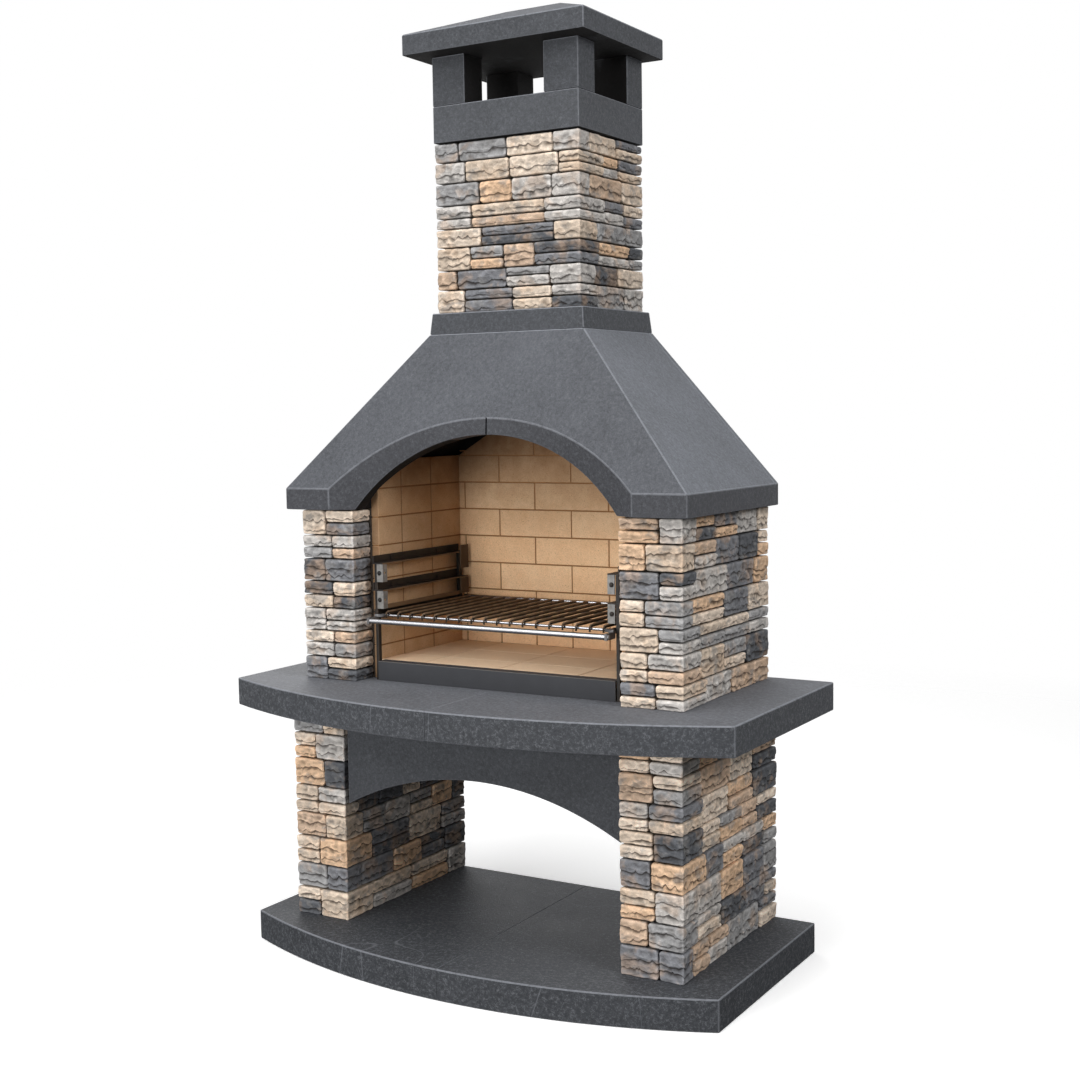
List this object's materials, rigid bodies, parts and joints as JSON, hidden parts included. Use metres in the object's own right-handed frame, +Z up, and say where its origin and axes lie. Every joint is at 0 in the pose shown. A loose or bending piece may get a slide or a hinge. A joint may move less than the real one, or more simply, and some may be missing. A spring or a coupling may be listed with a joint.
{
  "type": "masonry barbecue",
  "caption": "Free-standing stone-clad barbecue: bowed slabs, wood store, firebrick chamber with a sliding grill on wall racks, arched concrete hood, chimney and cap on posts.",
  "frame": {"origin": "on the ground, under the middle of the worktop's outline", "axes": "+Z up, +X to the right as seen from the front, the front faces -Y"},
  "size_m": [1.334, 0.726, 2.256],
  "materials": {
    "concrete": "anthracite fibre concrete, finely flecked, edges worn lighter",
    "cladding_stone": "rock-faced reconstituted stone in tan, greys and charcoal blue",
    "core_block": "plain cast concrete",
    "firebrick": "buff firebrick with dark specks",
    "black_steel": "black heat-proof paint, lightly rubbed",
    "plate_steel": "grey zinc-plated sheet steel",
    "chrome": "chrome-plated steel rod"
  },
  "bodies": {
    "masonry": {"base_slab_left": "concrete", "base_slab_right": "concrete", "leg_left_blocks": "core_block", "leg_right_blocks": "core_block", "leg_left_stones": "cladding_stone", "leg_right_stones": "cladding_stone", "worktop_left": "concrete", "worktop_right": "concrete", "arched_apron": "concrete", "pillar_left_blocks": "core_block", "pillar_right_blocks": "core_block", "pillar_left_stones": "cladding_stone", "pillar_right_stones": "cladding_stone", "chamber_rear_panel": "concrete", "hearth_slab": "core_block", "hearth_tiles": "firebrick", "lining_left": "firebrick", "lining_right": "firebrick", "lining_back": "firebrick", "sill_strip": "black_steel", "rack_left_uprights": "black_steel", "rack_right_uprights": "black_steel", "rack_left_runners": "black_steel", "rack_right_runners": "black_steel", "rack_left_clips": "plate_steel", "rack_right_clips": "plate_steel", "rack_left_rear_plates": "black_steel", "rack_right_rear_plates": "black_steel", "rack_screws": "plate_steel", "hood_front_left": "concrete", "hood_front_right": "concrete", "hood_side_left": "concrete", "hood_side_right": "concrete", "hood_rear": "concrete", "hood_collar": "concrete", "chimney_flue_blocks": "core_block", "chimney_stones": "cladding_stone", "chimney_top_ring": "concrete", "cap_post_front_left": "concrete", "cap_post_front_right": "concrete", "cap_post_rear_left": "concrete", "cap_post_rear_right": "concrete", "chimney_cap": "concrete"},
    "grill": {"grill_frame": "chrome", "grill_wires": "chrome", "grill_handle_bar": "chrome", "grill_handle_caps": "chrome"}
  },
  "joints": [
    {"name": "grill_slide", "type": "slide", "parent": "masonry", "child": "grill", "axis": [0, -1, 0], "range_m": [0, 0.33]}
  ]
}
